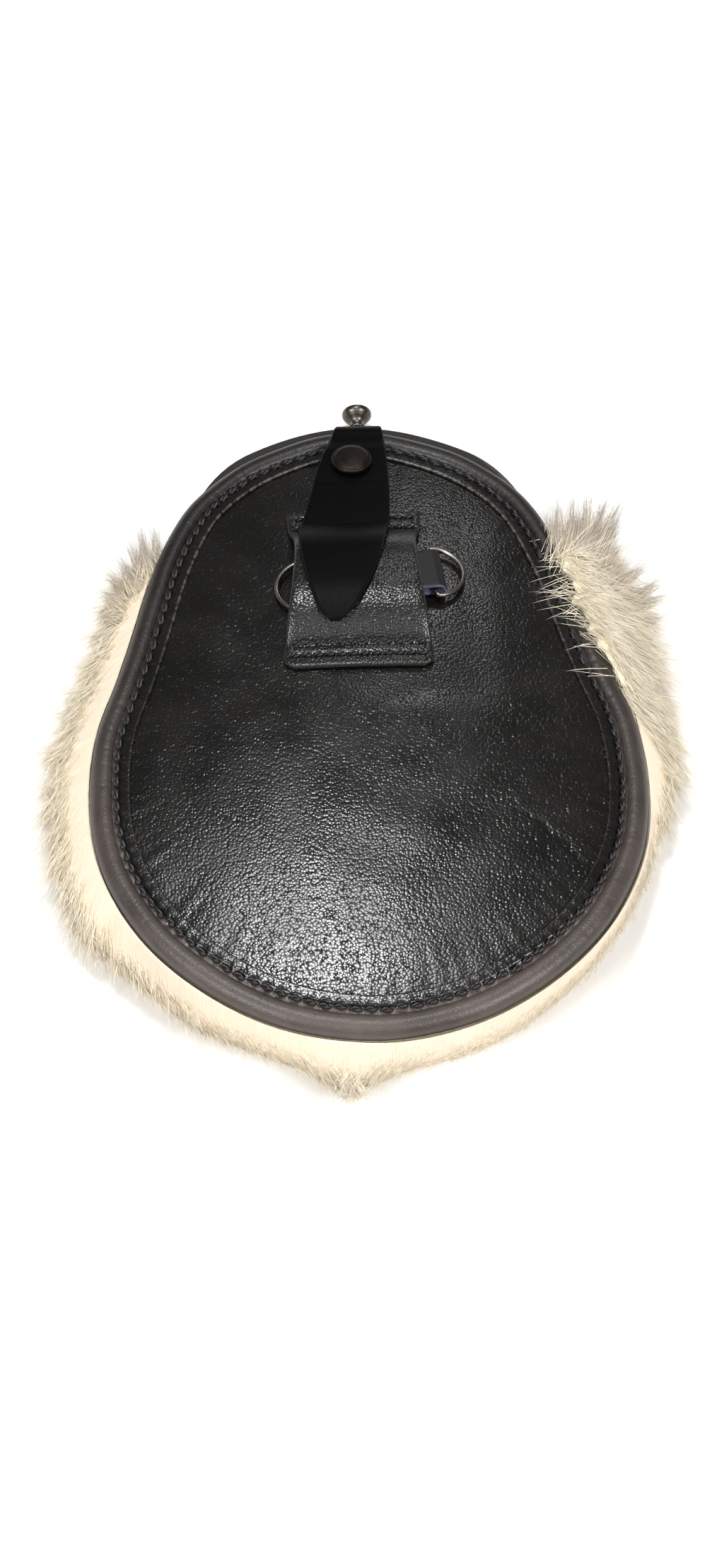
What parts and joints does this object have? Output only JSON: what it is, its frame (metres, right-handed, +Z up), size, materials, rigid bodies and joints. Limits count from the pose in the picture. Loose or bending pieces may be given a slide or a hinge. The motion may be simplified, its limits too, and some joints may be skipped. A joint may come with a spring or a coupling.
{
  "type": "sporran pouch",
  "caption": "Fur-fronted dress sporran pouch with a black leather back, closure tab and snap, belt loop, swinging D-rings and a metal cantle with a knob.",
  "frame": {"origin": "on the surface the fur front lies on, under the middle of the whole pouch", "axes": "+Z up through the leather back, +Y towards the mouth and the cantle, +X to the wearer's right of the mouth seen from behind"},
  "size_m": [0.1886, 0.2358, 0.0421],
  "materials": {
    "grained_leather": "pebbled grain, padded, waxed",
    "smooth_leather": "smooth, matte, with fine cross wrinkles",
    "front_leather": "plain, smooth",
    "gusset_leather": "plain, smooth",
    "cream_fur": "long cream hair with greyer tips",
    "nickel_silver": "polished nickel",
    "pewter": "polished pewter",
    "strap_leather": "smooth top, split edge",
    "steel_wire": "drawn wire, lightly tarnished",
    "tab_leather": "smooth, semi-gloss",
    "gunmetal": "pressed, dark plated",
    "snap_brass": "plain post"
  },
  "bodies": {
    "root": {"back_panel": "grained_leather", "edge_binding": "smooth_leather", "front_panel": "front_leather", "gusset": "gusset_leather", "fur": "cream_fur", "cantle": "nickel_silver", "cantle_knob": "pewter", "belt_loop": "grained_leather", "ring_strap": "strap_leather", "closure_tab": "tab_leather", "snap_cap": "gunmetal", "snap_stud": "snap_brass"},
    "ring_left": {"d_ring_left": "steel_wire"},
    "ring_right": {"d_ring_right": "steel_wire"}
  },
  "joints": [
    {"name": "ring_left_swing", "type": "hinge", "parent": "root", "child": "ring_left", "pos_m": [-0.01397, 0.03335, 0.03131], "axis": [-0.1124, 0.9867, -0.1175], "range_deg": [0, 35]},
    {"name": "ring_right_swing", "type": "hinge", "parent": "root", "child": "ring_right", "pos_m": [0.02259, 0.03751, 0.03062], "axis": [0.1125, -0.9872, 0.1129], "range_deg": [0, 100]}
  ]
}
